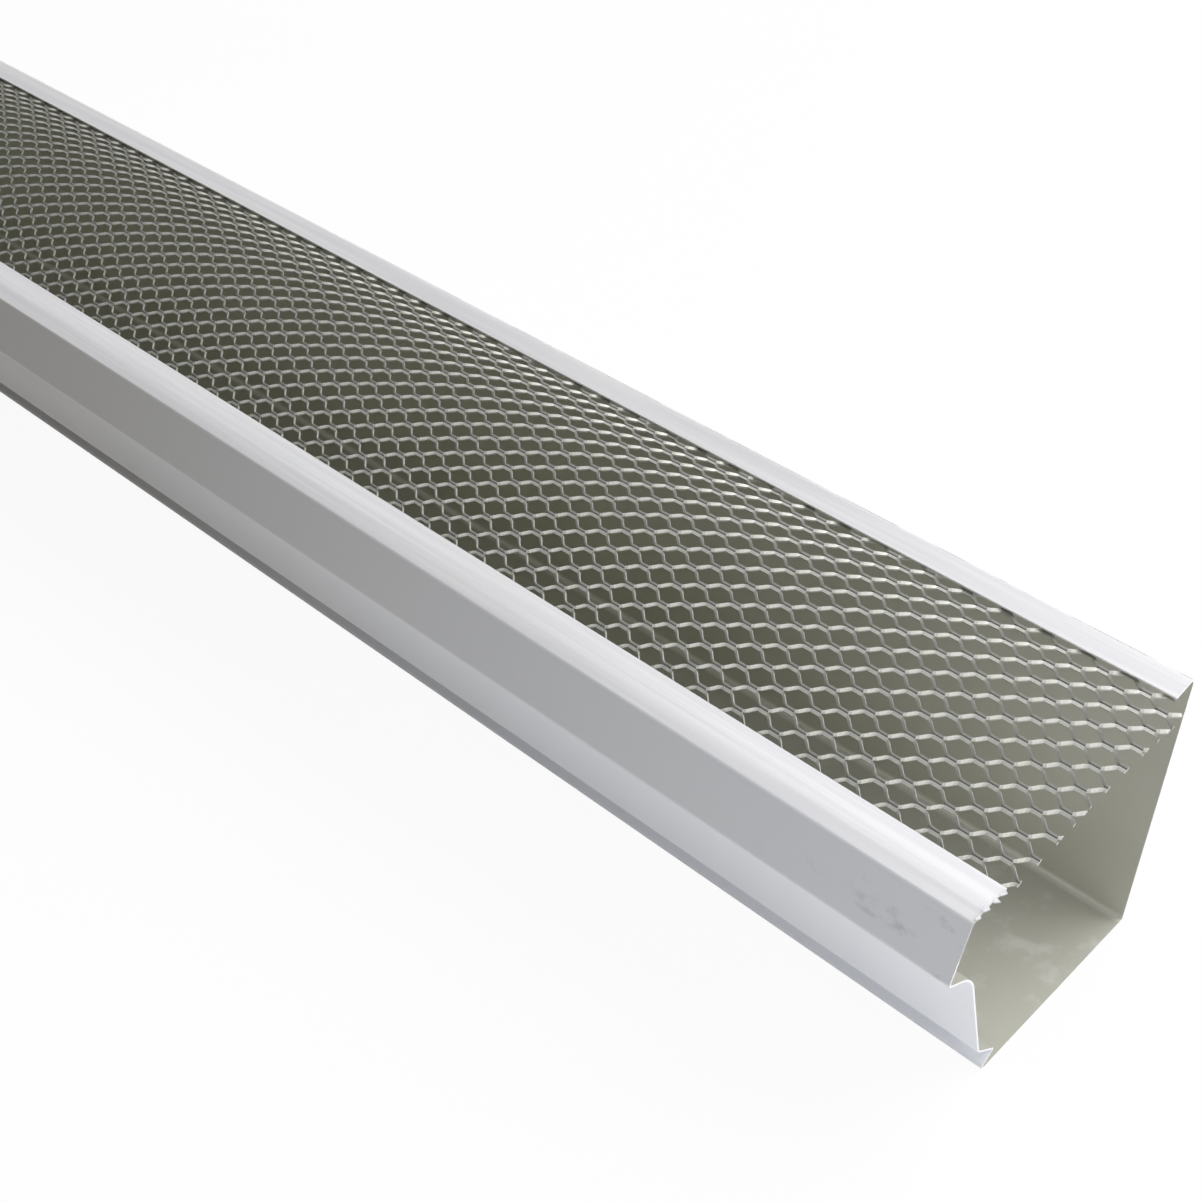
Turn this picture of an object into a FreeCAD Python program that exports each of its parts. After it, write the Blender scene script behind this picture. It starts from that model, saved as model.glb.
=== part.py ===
import FreeCAD, Part
import math
import os

Vector = FreeCAD.Vector

# Driving dimensions, millimetres

# Stock: the channel and the guard are cut to the same length
stock_length = 914.0
guard_overhang = 1.5      # how far the guard's front corner stands out of the near end
guard_end_skew = 5.0      # its back corner stands out by this much more

# Channel: one roll-formed sheet, sized on its outer faces
sheet = 0.8
back_height = 123.0
flange_depth = 12.0
flange_drop = 2.0
bottom_depth = 97.5       # from the back to the toe, where the sheet folds back on itself
foot_waist = 8.0          # the crease above the toe is set back by this much
foot_height = 7.0
foot_flare = 11.5         # from the crease out to the foot of the leaning wall
foot_rise = 9.0
wall_lean = 18.0
wall_rise = 55.7
ledge_depth = 15.0
ledge_rise = 8.3
fascia_lean = 7.0
fascia_rise = 24.0
lip_depth = 18.2
lip_crest_depth = 7.6     # from the outer fold in to the crest of the lip
lip_crest_rise = 2.3
lip_edge_drop = 0.7

# Inside bend radii of the channel
sharp_bend = 0.8
fold_bend = 1.6
foot_bend = 5.0
ledge_bend = 20.0
crest_bend = 12.0

# Guard: expanded sheet, sprung into an arch between the lip and the back flange
guard_rise = 9.0
guard_tuck = 5.0          # how far it runs on under the lip
seat_gap = 0.3            # clearance under the lip and flange edges and at the back wall
cell_pitch = 16.0
row_pitch = 4.65
row_lag = 0.4             # each row of cells lags the row in front of it
bond_length = 4.8
bond_width = 1.6
strand_width = 0.9
strand_depth = 1.5        # the strands stand on edge in the raised sheet
strand_lean = 45.0        # degrees from upright, their lower edges towards the back
first_cell = 8.0          # from the guard's near end to the middle of the first cell
guard_strips = 4          # the guard is split along its rows, from front to back

# Derived sizes
wall_foot = bottom_depth - foot_waist + foot_flare
front_reach = wall_foot + wall_lean + ledge_depth
back_face = front_reach / 2
near_end = (stock_length - guard_overhang - guard_end_skew) / 2
guard_near_end = near_end + guard_overhang
strand_run = cell_pitch / 2 - bond_length
lean = math.radians(strand_lean)
strand_side = Vector(0, math.sin(lean), -math.cos(lean)) * strand_depth


def channel_outline():
    """Outer corners of the section from the lip's inner edge round to the flange's, with bend radii."""
    bead_height = foot_height + foot_rise + wall_rise + ledge_rise
    fold = (front_reach - fascia_lean, bead_height + fascia_rise)
    crest = (fold[0] - lip_crest_depth, fold[1] + lip_crest_rise)
    corners = [
        ((fold[0] - lip_depth, crest[1] - lip_edge_drop), 0.0),
        (crest, crest_bend),
        (fold, fold_bend),
        ((front_reach, bead_height), fold_bend),
        ((wall_foot + wall_lean, bead_height - ledge_rise), ledge_bend),
        ((wall_foot, foot_height + foot_rise), foot_bend),
        ((bottom_depth - foot_waist, foot_height), sharp_bend),
        ((bottom_depth, 0.0), sharp_bend),
        ((0.0, 0.0), sharp_bend),
        ((0.0, back_height), fold_bend),
        ((flange_depth, back_height - flange_drop), 0.0),
    ]
    points = [Vector(0, back_face - reach, height) for (reach, height), bend in corners]
    return points, [bend for corner, bend in corners]


def left_normal(start, end):
    along = (end - start).normalize()
    return Vector(0, -along.z, along.y)


def inner_corners(points):
    """The outline moved to its left by the sheet thickness, with mitred corners."""
    normals = [left_normal(a, b) for a, b in zip(points, points[1:])]
    moved = [points[0] + normals[0] * sheet]
    for point, before, after in zip(points[1:-1], normals, normals[1:]):
        moved.append(point + (before + after) * (sheet / (1 + before.dot(after))))
    moved.append(points[-1] + normals[-1] * sheet)
    return moved


def rounded_path(points, radii):
    """Straight runs joined by tangent arcs."""
    edges = []
    start = points[0]
    for before, corner, after, radius in zip(points, points[1:], points[2:], radii[1:]):
        back = (before - corner).normalize()
        ahead = (after - corner).normalize()
        half = back.getAngle(ahead) / 2
        tangent = radius / math.tan(half)
        middle = corner + (back + ahead).normalize() * (radius / math.sin(half) - radius)
        edges.append(Part.makeLine(start, corner + back * tangent))
        start = corner + ahead * tangent
        edges.append(Part.Arc(corner + back * tangent, middle, start).toShape())
    edges.append(Part.makeLine(start, points[-1]))
    return edges


def side_radii(points, bends, outer):
    """Bend radii on one face of the sheet: the outside of each bend is larger by the thickness."""
    radii = [0.0]
    for before, corner, after, bend in zip(points, points[1:], points[2:], bends[1:]):
        left_turn = left_normal(before, corner).dot(after - corner) > 0
        radii.append(bend + sheet if left_turn == outer else bend)
    return radii


def channel():
    outer, bends = channel_outline()
    inner = inner_corners(outer)
    outer_edges = rounded_path(outer, side_radii(outer, bends, True))
    inner_edges = rounded_path(inner, side_radii(outer, bends, False))
    caps = [Part.makeLine(outer[0], inner[0]), Part.makeLine(outer[-1], inner[-1])]
    wire = Part.Wire(Part.__sortEdges__(outer_edges + inner_edges + caps))
    wire.translate(Vector(near_end - stock_length, 0, 0))
    return Part.Face(wire).extrude(Vector(stock_length, 0, 0))


def guard_lines():
    """Section points of the arch, one for each line of bonds, from under the lip to the back wall."""
    outline = inner_corners(channel_outline()[0])
    below = Vector(0, 0, -seat_gap)
    front = outline[0] + below
    rear = outline[-1] + below
    chord = rear - front
    half_chord = chord.Length / 2
    radius = (half_chord ** 2 + guard_rise ** 2) / (2 * guard_rise)
    upward = Vector(0, -chord.z, chord.y).normalize()
    centre = front + chord * 0.5 - upward * (radius - guard_rise)
    first = math.asin((front.y - centre.y) / radius) - guard_tuck / radius
    last = math.asin((back_face - sheet - seat_gap - strand_side.y - centre.y) / radius)
    rows = round(radius * (last - first) / row_pitch)
    turns = [first + (last - first) * row / rows for row in range(rows + 1)]
    return [centre + Vector(0, math.sin(turn), math.cos(turn)) * radius for turn in turns]


def cell_half():
    """Upper half of a cell's hole, from its middle: corner reach, flat reach and height."""
    slope = math.hypot(strand_run, row_pitch) / row_pitch
    corner = bond_length / 2 + strand_run - strand_width / 2 * slope
    height = row_pitch - bond_width / 2
    return corner, corner - height * strand_run / row_pitch, height


def row_edge(line, low, high):
    """The half cells on one line of bonds, as (along, height) points cut off at both ends."""
    corner, flat, height = cell_half()
    middle = guard_near_end - first_cell - row_lag * line - cell_pitch / 2 * (line % 2)
    middle -= cell_pitch * math.ceil((middle - low) / cell_pitch + 1)
    points = []
    while middle < high + cell_pitch:
        points += [(middle - corner, 0.0), (middle - flat, height), (middle + flat, height), (middle + corner, 0.0)]
        middle += cell_pitch
    clipped = []
    for (x0, h0), (x1, h1) in zip(points, points[1:]):
        if x1 <= low or x0 >= high:
            continue
        for x in (max(x0, low), min(x1, high)):
            clipped.append((x, h0 + (h1 - h0) * (x - x0) / (x1 - x0)))
    return [point for i, point in enumerate(clipped) if i == 0 or point != clipped[i - 1]]


def bond_edge(line, last_line):
    """A line of bonds with its half cells, or the straight edge of the sheet on the outermost lines."""
    high = guard_near_end + guard_end_skew * line / last_line
    low = high - stock_length
    if line in (0, last_line):
        return [(low, 0.0), (high, 0.0)]
    return row_edge(line, low, high)


def strand_row(lines, row):
    """The zigzag band of strands between two lines of bonds."""
    last_line = len(lines) - 1
    across = [(x, height / row_pitch) for x, height in bond_edge(row, last_line)]
    across += [(x, 1 - height / row_pitch) for x, height in reversed(bond_edge(row + 1, last_line))]
    step = lines[row + 1] - lines[row]
    outline = [lines[row] + step * share + Vector(x, 0, 0) for x, share in across]
    return Part.Face(Part.makePolygon(outline + outline[:1])).extrude(strand_side)


def guard_strip(lines, first_row, end_row):
    bands = [strand_row(lines, row) for row in range(first_row, end_row)]
    return bands[0].multiFuse(bands[1:]).Solids[0]


os.makedirs("parts", exist_ok=True)
channel().exportStep("parts/gutter_channel.step")
bond_lines = guard_lines()
row_count = len(bond_lines) - 1
strip_ends = [round(row_count * strip / guard_strips) for strip in range(guard_strips + 1)]
for strip, (first_row, end_row) in enumerate(zip(strip_ends, strip_ends[1:]), 1):
    guard_strip(bond_lines, first_row, end_row).exportStep(f"parts/guard_mesh_{strip}.step")
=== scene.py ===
import math

import bmesh
import bpy
from mathutils import Matrix, Vector


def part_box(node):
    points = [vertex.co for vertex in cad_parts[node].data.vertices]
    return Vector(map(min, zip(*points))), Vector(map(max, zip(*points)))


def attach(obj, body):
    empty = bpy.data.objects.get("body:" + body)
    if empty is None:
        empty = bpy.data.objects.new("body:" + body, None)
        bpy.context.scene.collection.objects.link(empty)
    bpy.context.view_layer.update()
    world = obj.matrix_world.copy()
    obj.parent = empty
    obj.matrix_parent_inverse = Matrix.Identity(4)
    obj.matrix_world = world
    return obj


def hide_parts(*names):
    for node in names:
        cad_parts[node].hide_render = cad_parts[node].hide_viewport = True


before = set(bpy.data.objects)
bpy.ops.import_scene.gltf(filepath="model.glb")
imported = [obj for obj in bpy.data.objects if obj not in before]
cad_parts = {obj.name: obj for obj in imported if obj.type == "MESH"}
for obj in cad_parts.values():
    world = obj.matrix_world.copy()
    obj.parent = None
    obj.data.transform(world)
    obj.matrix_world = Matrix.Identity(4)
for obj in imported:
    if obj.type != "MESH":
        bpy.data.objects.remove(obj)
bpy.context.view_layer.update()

# Camera: the photograph's viewpoint, in metres in the row frame
PHOTO_WIDTH = 1202.0
FOCAL_PIXELS = 1810.0
SENSOR_WIDTH = 36.0
EYE = Vector((0.61235, -0.4034, 0.5232))
AIM = Vector((0.18345, 0.0673, 0.0))
ROLL = math.radians(1.3)

# Studio: name, place, target, size and power of each lamp
LAMPS = (
    ("key", (0.9, 1.4, 2.2), (0.1, 0.0, 0.0), 2.6, 78),
    ("near_fill", (1.7, -0.15, 0.6), (0.3, 0.0, 0.05), 1.0, 6.5),
    ("front_fill", (1.1, -0.8, 0.35), (0.35, -0.05, 0.04), 0.6, 1.8),
)
SURROUND = 0.15
FLOOR_SIZE = 6.0
FLOOR_WHITE = 0.93         # how much of the floor's shade the white background covers

# Channel: where its sheet turns, read across the gutter and up
CHANNEL_LOW, CHANNEL_HIGH = (Vector(corner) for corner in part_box("gutter_channel"))
NEAR_END = CHANNEL_HIGH.x
SHEET = 0.0008
LIP_EDGE = Vector((-0.0418, 0.1048))
FLANGE_EDGE = Vector((0.0550, 0.1202))
BACK_WALL_INNER = CHANNEL_HIGH.y - SHEET
LIP_FOLD = Vector((-0.0597, 0.1042))
LIP_CREST = Vector((-0.0524, 0.1061))
LIP_INNER = Vector((-0.0422, 0.1056))
LIP_CREST_SHARE = 0.42     # the crest's place on the lip, from its fold to its inner edge

# Burrs: share of the way along the lip, reach and half width
BURRS = (
    (0.14, 0.0008, 0.0013),
    (0.36, 0.0012, 0.0017),
    (0.63, 0.0019, 0.0012),
    (0.88, 0.0014, 0.0018),
)
BURR_ROOT = 0.0004         # how far a burr runs back into the sheet
BURR_SINK = 0.00025        # and how far its underside lies below the lip's top
BURR_THICKNESS = 0.0005

# Finish of the channel: what tells its faces apart, by the share of the normal in a direction
LYING = 0.5                # a face lies flat where its normal points up or down by more than this
FACING = 0.3               # it looks up, forward or back where its normal points there by more than this
FRONT_FACING = 0.5         # the fascia and the front wall look forward by more than this
TOE_FACING = 0.35          # and so does the fold of the toe, unlike the bottom, by more than this
CUT_FACING = 0.7           # only the sawn ends look along the gutter by more than this

# and by place across the gutter and up
MIDDLE = 0.0               # the front wall and the lip lie in front of this
BACK_ZONE = 0.06           # the back wall lies behind this
BOTTOM_ZONE = 0.003        # of the faces that look up, only the bottom's lie below this
FASCIA_FOOT = 0.0785
RIM_ZONE = 0.09            # only the lip, the flange and the tops of the walls are above this
BACK_FOLD_DEPTH = 0.0018
BACK_FOLD_HEIGHT = 0.0022
CORNER_SHINE = 0.000012    # the square of the painted shine's reach from the bottom's back corner

# Guard: raised expanded sheet, first laid out flat, then sprung into its arch
CELL_PITCH = 0.0163
CELL_PITCH_FAR = 0.0138    # the cells close up away from the open near end
ROW_PITCH = 0.00502
ROW_PITCH_FAR = 0.00425
ROW_LAG = 0.00065          # each row lags the one in front of it
ROW_LAG_FAR = 0.00033
ROWS = 28
CELLS_PER_ROW = 66
BOND_LENGTH = 0.0038
BOND_STEP = 0.0002         # the two strands of a bond are set off from each other
STRAND_WIDTH = 0.0012
STRAND_THICKNESS = 0.0009
FRONT_TILT = math.radians(12)   # the front half of a bond lies nearly flat
BACK_TILT = math.radians(42)    # and its back half stands up, from which the strands twist round
STRAND_SWEEP = 0.0030      # how long a strand keeps to its bond's direction
STRAND_STEPS = 4
SEAT_DEPTH = 0.0014        # from the lip and flange edges down to the middle of the guard
TUCK = 0.0050              # how far the guard runs on under the lip
BACK_GAP = 0.0003          # between the guard and the back wall
ARCH_RISE_NEAR = 0.0045
ARCH_RISE_FAR = 0.0101
ARCH_LEAN = 0.0008         # the front of the arch is lowered and its back raised by this much
ARCH_SETTLE = 0.21         # the arch stands at its full rise this far from the near end
CELL_SETTLE = 0.53         # the cells keep their far length from here on
ROW_SETTLE = 0.40          # and the rows their far spacing from here on
END_FRONT = 0.0013         # the guard's cut end stands out of the channel by this much in front
END_BACK = 0.0065          # and by this much at the back
END_CORNER = 0.0060        # its back corner is nipped off this far in from the flange's edge
FIRST_BOND = 0.0038
WELD = 1e-6
CUT_TOLERANCE = 1e-7


class Field:
    """A value over a surface: one output of a shader node, with its maths written as expressions."""

    def __init__(self, tree, socket=None):
        self.tree = tree
        self.socket = socket

    def node(self, kind, settings=None, sockets=None, output=0):
        """Adds a node, makes its settings and fills its sockets with numbers, colours or fields."""
        made = self.tree.nodes.new(kind)
        for name, value in (settings or {}).items():
            setattr(made, name, value)
        for name, value in (sockets or {}).items():
            if isinstance(value, Field):
                self.tree.links.new(value.socket, made.inputs[name])
            else:
                made.inputs[name].default_value = value
        return Field(self.tree, made.outputs[output])

    def math(self, operation, *values):
        return self.node("ShaderNodeMath", {"operation": operation}, dict(enumerate(values)))

    def __add__(self, other):
        return self.math("ADD", self, other)

    def __sub__(self, other):
        return self.math("SUBTRACT", self, other)

    def __rsub__(self, other):
        return self.math("SUBTRACT", other, self)

    def __mul__(self, other):
        return self.math("MULTIPLY", self, other)

    def __gt__(self, other):
        return self.math("GREATER_THAN", self, other)

    def __lt__(self, other):
        return self.math("LESS_THAN", self, other)

    def __abs__(self):
        return self.math("ABSOLUTE", self)

    def __neg__(self):
        return self * -1

    __radd__ = __add__
    __rmul__ = __mul__

    def either(self, other):
        return self.math("MAXIMUM", self, other)

    def ramp(self, low, high):
        """0 below low, 1 above high, smooth between."""
        return self.node("ShaderNodeMapRange", {"interpolation_type": "SMOOTHSTEP"},
                         {"Value": self, "From Min": low, "From Max": high})

    def axes(self):
        split = self.node("ShaderNodeSeparateXYZ", None, {"Vector": self})
        return [Field(self.tree, output) for output in split.socket.node.outputs]

    def stretched(self, scale):
        return self.node("ShaderNodeMapping", None, {"Vector": self, "Scale": scale})

    def noise(self, scale, detail=2.0, roughness=0.5):
        return self.node("ShaderNodeTexNoise", None,
                         {"Vector": self, "Scale": scale, "Detail": detail, "Roughness": roughness})

    def bump(self, strength, distance):
        return self.node("ShaderNodeBump", None,
                         {"Height": self, "Strength": strength, "Distance": distance})

    def blend(self, low_colour, high_colour):
        """Low colour where this field is 0, high colour where it is 1."""
        return self.node("ShaderNodeMix", {"data_type": "RGBA"},
                         {"Factor": self, 6: low_colour, 7: high_colour}, output=2)

    def feed(self, shader, name):
        self.tree.links.new(self.socket, shader.inputs[name])


def new_material(name):
    """A material, its shader and an empty field that nodes are added from."""
    material = bpy.data.materials.new(name)
    material.use_nodes = True
    return material, material.node_tree.nodes["Principled BSDF"], Field(material.node_tree)


def coated_sheet():
    """White enamel outside, an olive-grey backing coat inside and bare metal on the cut edges."""
    material, shader, surface = new_material("coated_sheet")
    place = surface.node("ShaderNodeTexCoord", output="Object")
    x, y, z = place.axes()
    face_x, face_y, face_z = surface.node("ShaderNodeNewGeometry", output="Normal").axes()
    streaks = place.stretched((6.0, 330.0, 330.0)).noise(1.0, 4.0, 0.6)
    clouds = place.noise(18.0, 3.0)
    mottle = place.stretched((1.0, 1.0, 1.8)).noise(55.0, 4.0, 0.6)

    rim = z > RIM_ZONE
    front_half = y < MIDDLE
    floor_inside = (face_z > LYING) * (z < BOTTOM_ZONE) * (face_y > -TOE_FACING)
    under_edges = (face_z < -LYING) * rim
    front_inside = (face_y > FACING) * front_half
    back_inside = (face_y < -FACING) * (y > BACK_ZONE)
    inside = floor_inside.either(under_edges).either(front_inside).either(back_inside)
    cut = abs(face_x) > CUT_FACING
    front = (face_y < -FRONT_FACING) * front_half
    fascia = front * (z > FASCIA_FOOT)

    # Enamel: painted shade darkens the top and the front away from the near end, and painted floor bounce
    # makes the lower front wall paler and bluer than the fascia; streaked on top, rubbed near the end of
    # the fascia
    # painted light: 1 at the lit near end, 0 where painted shade darkens the far end
    painted_light_nearness = x.ramp(-0.15, 0.46)
    # painted shade: the top's streaks darken away from the near end
    painted_light_near_end = x.ramp(0.22, 0.43)
    dark_streak = painted_light_near_end.blend((0.68, 0.68, 0.70, 1), (0.79, 0.79, 0.82, 1))
    pale_streak = painted_light_near_end.blend((0.76, 0.76, 0.77, 1), (0.88, 0.88, 0.90, 1))
    top = streaks.ramp(0.36, 0.64).blend(dark_streak, pale_streak)
    # painted shade on the fascia and painted floor bounce on the lower front wall, both darkening away from
    # the near end
    painted_shade_fascia = painted_light_nearness.blend((0.43, 0.42, 0.40, 1), (0.72, 0.73, 0.76, 1))
    painted_light_lower_wall = painted_light_nearness.blend((0.42, 0.41, 0.395, 1), (0.92, 0.94, 0.99, 1))
    plain = clouds.blend((0.81, 0.81, 0.84, 1), (0.87, 0.87, 0.89, 1))
    enamel = (face_z > FACING).blend(plain, top)
    enamel = front.blend(enamel, fascia.blend(painted_light_lower_wall, painted_shade_fascia))
    rubbed = mottle.ramp(0.57, 0.75) * fascia * x.ramp(0.36, 0.43) * 0.6
    enamel = rubbed.blend(enamel, (0.38, 0.38, 0.40, 1))
    back_fold = (y > CHANNEL_HIGH.y - BACK_FOLD_DEPTH) * (z > CHANNEL_HIGH.z - BACK_FOLD_HEIGHT)
    worn_fold = back_fold * mottle.ramp(0.42, 0.56) * x.ramp(0.0, 0.15) * 0.6
    enamel = worn_fold.blend(enamel, (0.16, 0.16, 0.16, 1))

    # Backing coat: painted shade darkens it deep inside, scuffed on the bottom, a painted shine in its back
    # corner and painted light near the top lifts the shade under the flange
    open_end = clouds.blend((0.44, 0.44, 0.38, 1), (0.55, 0.55, 0.485, 1))
    scuffed = mottle.ramp(0.52, 0.72) * floor_inside * 0.45
    open_end = scuffed.blend(open_end, (0.76, 0.76, 0.71, 1))
    # painted shade: the backing deep inside, away from the open near end
    deep = clouds.blend((0.40, 0.40, 0.32, 1), (0.50, 0.50, 0.42, 1))
    backing = x.ramp(0.16, 0.38).blend(deep, open_end)
    from_wall = y - BACK_WALL_INNER
    # painted highlight: a pale shine along the bend of the bottom's back corner
    corner = (1 - (from_wall * from_wall + z * z).ramp(0.0, CORNER_SHINE)) * 0.6
    backing = corner.blend(backing, (0.80, 0.80, 0.74, 1))
    # painted light: lifts the shade on the back wall's top and under the flange, away from the near end
    painted_light_rim = z.ramp(0.106, 0.112) * (1 - x.ramp(0.20, 0.42)) * 0.8
    backing = painted_light_rim.blend(backing, (0.84, 0.84, 0.77, 1))

    edge = (rim * front_half).blend((0.86, 0.86, 0.88, 1), (0.52, 0.52, 0.52, 1))
    cut.blend(inside.blend(enamel, backing), edge).feed(shader, "Base Color")
    (0.32 + 0.14 * streaks + 0.16 * inside + 0.10 * mottle).feed(shader, "Roughness")
    (streaks * 0.4 + mottle * 0.6).bump(0.08, 0.0002).feed(shader, "Normal")
    return material


def galvanised():
    """Zinc, with painted light: painted shade darkens it towards the far end, a painted highlight brightens
    sides that look to the near end, and painted shade darkens its creases.
    """
    material, shader, surface = new_material("galvanised")
    place = surface.node("ShaderNodeTexCoord", output="Object")
    face_x, face_y = surface.node("ShaderNodeNewGeometry", output="Normal").axes()[:2]
    crease = surface.node("ShaderNodeAttribute", {"attribute_name": "crease"}, output="Fac")
    spangle = place.noise(260.0, 2.0)
    # painted light: 1 near the lit near end, 0 where painted shade darkens the far end
    painted_light_nearness = place.axes()[0].ramp(-0.20, 0.30)
    painted_far_shade_zinc = spangle.blend((0.20, 0.20, 0.18, 1), (0.28, 0.28, 0.255, 1))
    painted_near_light_zinc = spangle.blend((0.34, 0.34, 0.315, 1), (0.48, 0.48, 0.45, 1))
    # painted highlight on the sides that look to the near end
    painted_highlight_zinc = painted_light_nearness.blend((0.32, 0.315, 0.29, 1), (0.57, 0.56, 0.52, 1))
    painted_near_light_side = face_x.ramp(0.15, 0.55) * 0.7
    zinc = painted_near_light_side.blend(painted_light_nearness.blend(painted_far_shade_zinc, painted_near_light_zinc), painted_highlight_zinc)
    # painted shade: forward-facing faces of the bond's crease are darkened
    painted_crease_shade = (-face_y).ramp(0.15, 0.50) * (1 - face_x.ramp(0.15, 0.50)) * crease.ramp(0.35, 0.85)
    painted_crease_shade.blend(zinc, (0.08, 0.08, 0.07, 1)).feed(shader, "Base Color")
    (0.32 + 0.25 * spangle).feed(shader, "Roughness")
    spangle.bump(0.25, 0.0002).feed(shader, "Normal")
    shader.inputs["Metallic"].default_value = 0.3
    return material


def seen_rays(surface):
    """1 for what the camera sees directly, in a mirror or through glass."""
    camera, glossy, through = (surface.node("ShaderNodeLightPath", output=name)
                               for name in ("Is Camera Ray", "Is Glossy Ray", "Is Transmission Ray"))
    return camera.either(glossy).either(through)


def white_floor():
    """White paper: it shows the background's white to the camera and keeps a soft shadow."""
    material, shader, surface = new_material("white_floor")
    shader.inputs["Base Color"].default_value = (0.95, 0.95, 0.95, 1)
    shader.inputs["Roughness"].default_value = 0.9
    paper = Field(surface.tree, shader.outputs[0])
    white = surface.node("ShaderNodeEmission", None, {"Color": (1, 1, 1, 1), "Strength": 1.0})
    covered = seen_rays(surface) * FLOOR_WHITE
    mixed = surface.node("ShaderNodeMixShader", None, {0: covered, 1: paper, 2: white})
    mixed.feed(surface.tree.nodes["Material Output"], "Surface")
    return material


def add_piece(name, bm, material):
    mesh = bpy.data.meshes.new(name)
    bm.to_mesh(mesh)
    bm.free()
    mesh.materials.append(material)
    piece = bpy.data.objects.new(name, mesh)
    bpy.context.scene.collection.objects.link(piece)
    return piece


def verts_of(geometry):
    return [part for part in geometry if isinstance(part, bmesh.types.BMVert)]


def across_strand(tilt):
    """Across a strand from its front edge to its back edge."""
    return Vector((0, math.cos(tilt), math.sin(tilt)))


def through_sheet():
    """Through the sheet's thickness, the same for both halves of a bond."""
    tilt = (FRONT_TILT + BACK_TILT) / 2
    return Vector((0, -math.sin(tilt), math.cos(tilt)))


def strand_path(start, end, along):
    """Rings of a strand, each its centre, width and depth.

    It is a cubic curve that leaves one bond and meets the next in the direction of the bonds.
    """
    pull = Vector((along * STRAND_SWEEP, 0, 0))
    rings = []
    for step in range(1, STRAND_STEPS + 1):
        s = step / STRAND_STEPS
        centre = (start * (1 + 2 * s) * (1 - s) ** 2 + pull * s * (1 - s) ** 2
                  + end * s * s * (3 - 2 * s) + pull * s * s * (s - 1))
        heading = ((end - start) * 6 * s * (1 - s) + pull * (1 - 4 * s + 3 * s * s)
                   + pull * (3 * s * s - 2 * s)).normalized()
        tilt = BACK_TILT + (FRONT_TILT - BACK_TILT) * s
        wide, deep = (axis - heading * axis.dot(heading) for axis in (across_strand(tilt), through_sheet()))
        rings.append((centre, wide.normalized(), deep.normalized()))
    return rings


def grow_strand(bm, face, rings):
    """Extrudes a bond's end face through the rings and leaves the far end open."""
    crease = bm.verts.layers.float["crease"]
    start = face.calc_center_median()
    wide, deep = across_strand(BACK_TILT), through_sheet()
    skew = wide.cross(deep).x
    arms = [vert.co - start for vert in face.verts]
    corners = [(arm.cross(deep).x / skew, wide.cross(arm).x / skew) for arm in arms]
    for ring, (centre, wide, deep) in enumerate(rings, 1):
        face = bmesh.ops.extrude_discrete_faces(bm, faces=[face])["faces"][0]
        for vert, (a, b) in zip(face.verts, corners):
            vert.co = centre + wide * a + deep * b
            vert[crease] = max(1 - 2 * ring / len(rings), 0.0) if a < 0 else 0.0
    bmesh.ops.delete(bm, geom=[face], context="FACES_ONLY")


def mesh_cell():
    """One bond with the two strands behind it, open where the neighbouring cells join on.

    The crease value is 1 between the halves of the bond and runs out along its strands; the galvanised
    material paints shade by it.
    """
    bm = bmesh.new()
    crease = bm.verts.layers.float.new("crease")
    front_width = across_strand(FRONT_TILT) * STRAND_WIDTH
    back_width = across_strand(BACK_TILT) * STRAND_WIDTH
    thickness = through_sheet() * STRAND_THICKNESS
    step = Vector((0, BOND_STEP, 0))
    half_bond = Vector((BOND_LENGTH / 2, 0, 0))
    foot = (thickness - step) / 2 - front_width
    edge = bm.edges.new([bm.verts.new(foot - half_bond), bm.verts.new(foot + half_bond)])
    for run, depth in ((front_width, 0.0), (step, 1.0), (back_width, 0.0)):
        verts = verts_of(bmesh.ops.extrude_edge_only(bm, edges=[edge])["geom"])
        bmesh.ops.translate(bm, verts=verts, vec=run)
        for vert in verts:
            vert[crease] = depth
        edge = bm.edges.get(verts)
    copied = bmesh.ops.extrude_face_region(bm, geom=bm.faces[:])["geom"]
    bmesh.ops.translate(bm, verts=verts_of(copied), vec=-thickness)
    bmesh.ops.recalc_face_normals(bm, faces=bm.faces)
    for along in (1, -1):
        ends = [face for face in bm.faces if face.normal.x * along > 0.9]
        ends.sort(key=lambda face: face.calc_center_median().y)
        front, back = ends[0], ends[-1]
        bmesh.ops.delete(bm, geom=[front], context="FACES_ONLY")
        leaving = along * half_bond + (step + back_width) / 2
        next_bond = Vector((along * CELL_PITCH / 2, ROW_PITCH, 0))
        landing = next_bond - along * half_bond - (step + front_width) / 2
        grow_strand(bm, back, strand_path(leaving, landing, along))
    return bm


def repeat(bm, offsets):
    """Copies everything in the bmesh to each of the offsets, the first of which is where it stands."""
    geometry = bm.verts[:] + bm.edges[:] + bm.faces[:]
    for offset in offsets[1:]:
        copied = bmesh.ops.duplicate(bm, geom=geometry)["geom"]
        bmesh.ops.translate(bm, verts=verts_of(copied), vec=offset)


def trim(bm, point, outward):
    """Cuts away what lies beyond a plane."""
    bmesh.ops.bisect_plane(bm, geom=bm.verts[:] + bm.edges[:] + bm.faces[:], dist=CUT_TOLERANCE,
                           plane_co=point, plane_no=outward, clear_outer=True)


def settled(distance, length):
    """How far the guard has come to its far shape: 0 at the near end, 1 from this length on."""
    share = min(max(distance / length, 0.0), 1.0)
    return share * share * (3 - 2 * share)


def closed_up(distance):
    """Where a place on the flat guard lies, from the near end, once the cells have closed up."""
    share = min(max(distance / CELL_SETTLE, 0.0), 1.0)
    closing = CELL_SETTLE * (share ** 3 - share ** 4 / 2) + max(distance - CELL_SETTLE, 0.0)
    return distance - (1 - CELL_PITCH_FAR / CELL_PITCH) * closing


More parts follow.
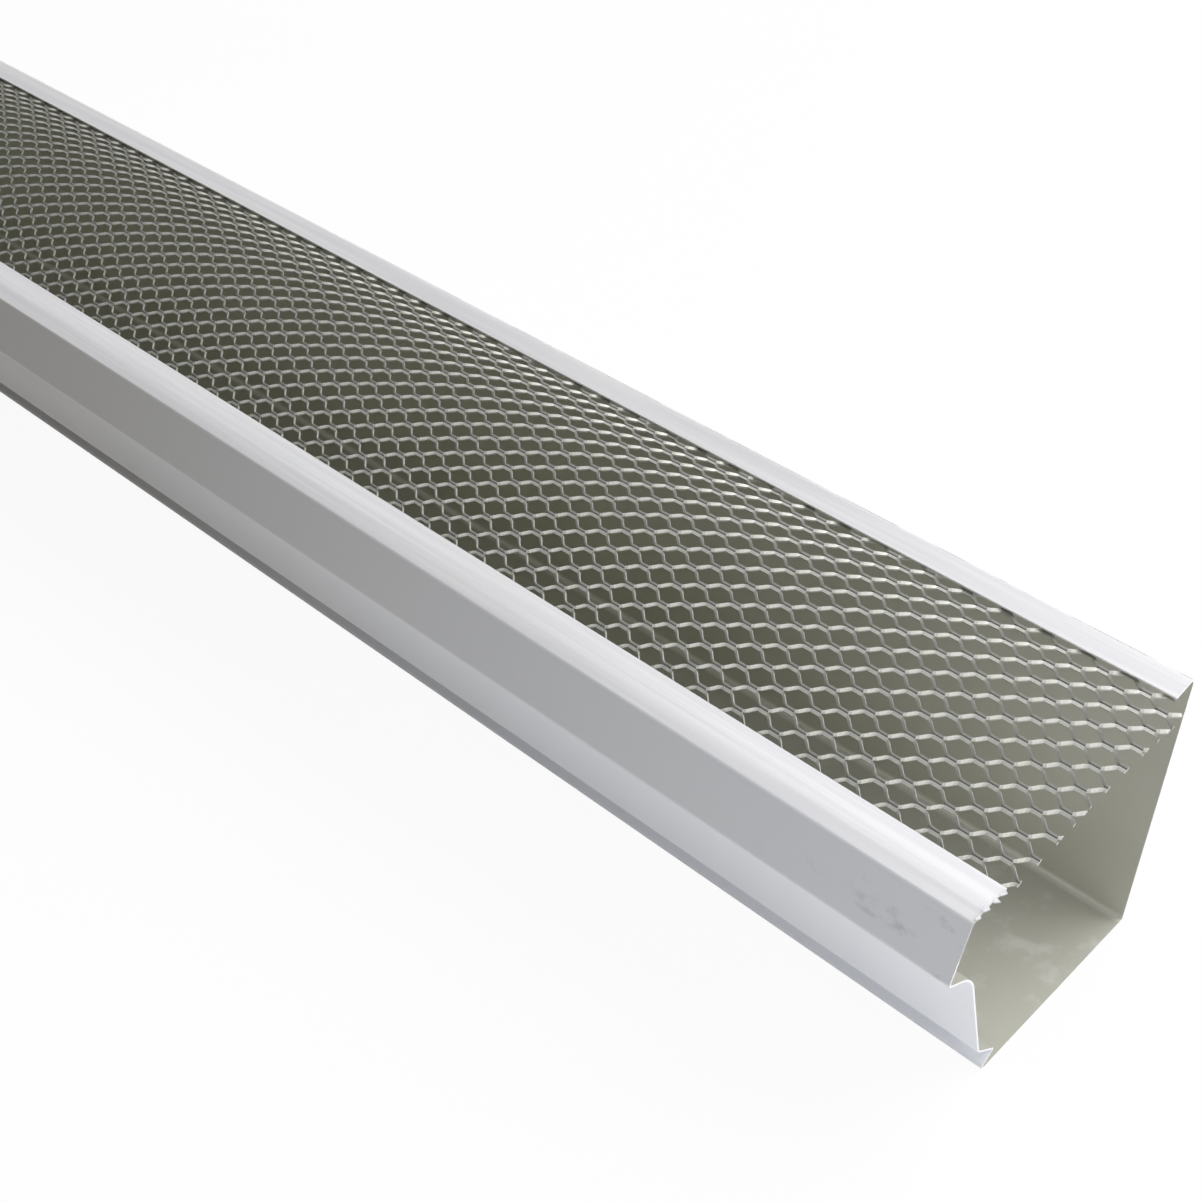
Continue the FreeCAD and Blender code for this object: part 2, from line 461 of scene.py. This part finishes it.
def spring_into_arch(bm):
    """Bends the flat guard between the lip and the flange: flatter and wider at the near end."""
    front = LIP_EDGE - Vector((0, SEAT_DEPTH))
    chord = FLANGE_EDGE - LIP_EDGE
    upward = Vector((-chord.y, chord.x)).normalized()
    for vert in bm.verts:
        x, across, height = vert.co
        away = NEAR_END - x
        closing = settled(away, ROW_SETTLE)
        row = across / ROW_PITCH
        across += row * (ROW_PITCH_FAR - ROW_PITCH) * closing
        rise = ARCH_RISE_NEAR + (ARCH_RISE_FAR - ARCH_RISE_NEAR) * settled(away, ARCH_SETTLE)
        radius = (chord.length ** 2 / 4 + rise ** 2) / (2 * rise)
        centre = front + chord / 2 - upward * (radius - rise)
        turn = math.asin((front.x - centre.x) / radius) + (across - TUCK) / radius
        share = min(max((across - TUCK) / chord.length, 0.0), 1.0)
        reach = radius + height - ARCH_LEAN * math.sin(2 * math.pi * share)
        lag = row * (ROW_LAG + (ROW_LAG_FAR - ROW_LAG) * closing)
        vert.co = (NEAR_END - closed_up(away) - lag,
                   centre.x + reach * math.sin(turn), centre.y + reach * math.cos(turn))


def expanded_guard(material):
    """The mesh: one cell repeated along the rows and across them, welded, sprung and cut to size."""
    bm = mesh_cell()
    first = Vector((NEAR_END + FIRST_BOND + CELL_PITCH, 0, 0))
    bmesh.ops.translate(bm, verts=bm.verts, vec=first)
    repeat(bm, [Vector((-CELL_PITCH * cell, 0, 0)) for cell in range(CELLS_PER_ROW)])
    repeat(bm, [Vector((-CELL_PITCH / 2 * (row % 2), ROW_PITCH * row, 0)) for row in range(ROWS)])
    bmesh.ops.remove_doubles(bm, verts=bm.verts, dist=WELD)
    spring_into_arch(bm)
    end_line = Vector((END_BACK - END_FRONT, FLANGE_EDGE.x - LIP_EDGE.x, 0))
    outward = Vector((end_line.y, -end_line.x, 0))
    trim(bm, Vector((NEAR_END + END_FRONT, LIP_EDGE.x, 0)), outward)
    trim(bm, Vector((CHANNEL_LOW.x + END_FRONT, LIP_EDGE.x, 0)), -outward)
    trim(bm, Vector((NEAR_END, FLANGE_EDGE.x, 0)), Vector((END_CORNER, END_BACK, 0)))
    trim(bm, Vector((NEAR_END, LIP_EDGE.x, 0)), Vector((1, -1, 0)))
    trim(bm, Vector((0, BACK_WALL_INNER - BACK_GAP, 0)), Vector((0, 1, 0)))
    bmesh.ops.holes_fill(bm, edges=[edge for edge in bm.edges if edge.is_boundary], sides=0)
    bmesh.ops.recalc_face_normals(bm, faces=bm.faces)
    guard = add_piece("expanded_guard", bm, material)
    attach(guard, "root")
    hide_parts(*(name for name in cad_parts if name.startswith("guard_mesh")))


def on_lip(share):
    """A point of the lip's top in its section, by its share of the way from the fold inwards."""
    if share < LIP_CREST_SHARE:
        return LIP_FOLD.lerp(LIP_CREST, share / LIP_CREST_SHARE)
    return LIP_CREST.lerp(LIP_INNER, (share - LIP_CREST_SHARE) / (1 - LIP_CREST_SHARE))


def lip_burrs(material):
    """Ragged slivers of sheet that the saw left on the lip's near end."""
    bm = bmesh.new()
    for share, reach, half_width in BURRS:
        middle = on_lip(share)
        root = Vector((NEAR_END - BURR_ROOT, middle.x, middle.y - BURR_SINK))
        outline = (
            (0, -half_width, 0),
            (BURR_ROOT + reach * 0.4, -half_width * 0.7, 0),
            (BURR_ROOT + reach, half_width * 0.3, reach * 0.1),
            (0, half_width, 0),
        )
        sliver = bm.faces.new([bm.verts.new(root + Vector(corner)) for corner in outline])
        raised = bmesh.ops.extrude_face_region(bm, geom=[sliver])["geom"]
        bmesh.ops.translate(bm, verts=verts_of(raised), vec=Vector((0, 0, BURR_THICKNESS)))
    bmesh.ops.recalc_face_normals(bm, faces=bm.faces)
    burrs = add_piece("lip_burrs", bm, material)
    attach(burrs, "root")


def add_floor(material):
    bm = bmesh.new()
    bmesh.ops.create_grid(bm, x_segments=1, y_segments=1, size=FLOOR_SIZE)
    floor = add_piece("floor", bm, material)


def add_camera():
    data = bpy.data.cameras.new("camera")
    data.sensor_width = SENSOR_WIDTH
    data.lens = FOCAL_PIXELS / PHOTO_WIDTH * SENSOR_WIDTH
    camera = bpy.data.objects.new("camera", data)
    bpy.context.scene.collection.objects.link(camera)
    level = (AIM - EYE).to_track_quat("-Z", "Y").to_matrix().to_4x4()
    camera.matrix_world = Matrix.Translation(EYE) @ level @ Matrix.Rotation(ROLL, 4, "Z")
    bpy.context.scene.camera = camera


def add_area(name, place, target, size, power):
    data = bpy.data.lights.new(name, "AREA")
    data.size = size
    data.energy = power
    lamp = bpy.data.objects.new(name, data)
    bpy.context.scene.collection.objects.link(lamp)
    lamp.location = place
    lamp.rotation_euler = (Vector(target) - Vector(place)).to_track_quat("-Z", "Y").to_euler()


def add_world(strength):
    """An even white surround that lights softly and is seen, and mirrored, as plain white."""
    world = bpy.data.worlds.new("studio")
    bpy.context.scene.world = world
    world.use_nodes = True
    tree = world.node_tree
    soft = tree.nodes["Background"]
    soft.inputs["Color"].default_value = (1, 1, 1, 1)
    soft.inputs["Strength"].default_value = strength
    sky = Field(tree)
    white = sky.node("ShaderNodeBackground", None, {"Color": (1, 1, 1, 1), "Strength": 1.0})
    mixed = sky.node("ShaderNodeMixShader", None,
                     {0: seen_rays(sky), 1: Field(tree, soft.outputs[0]), 2: white})
    mixed.feed(tree.nodes["World Output"], "Surface")


add_camera()
for lamp in LAMPS:
    add_area(*lamp)
add_world(SURROUND)
add_floor(white_floor())
sheet_finish = coated_sheet()
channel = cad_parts["gutter_channel"].data
channel.materials.clear()
channel.materials.append(sheet_finish)
expanded_guard(galvanised())
lip_burrs(sheet_finish)

bpy.context.scene.view_settings.view_transform = "Standard"
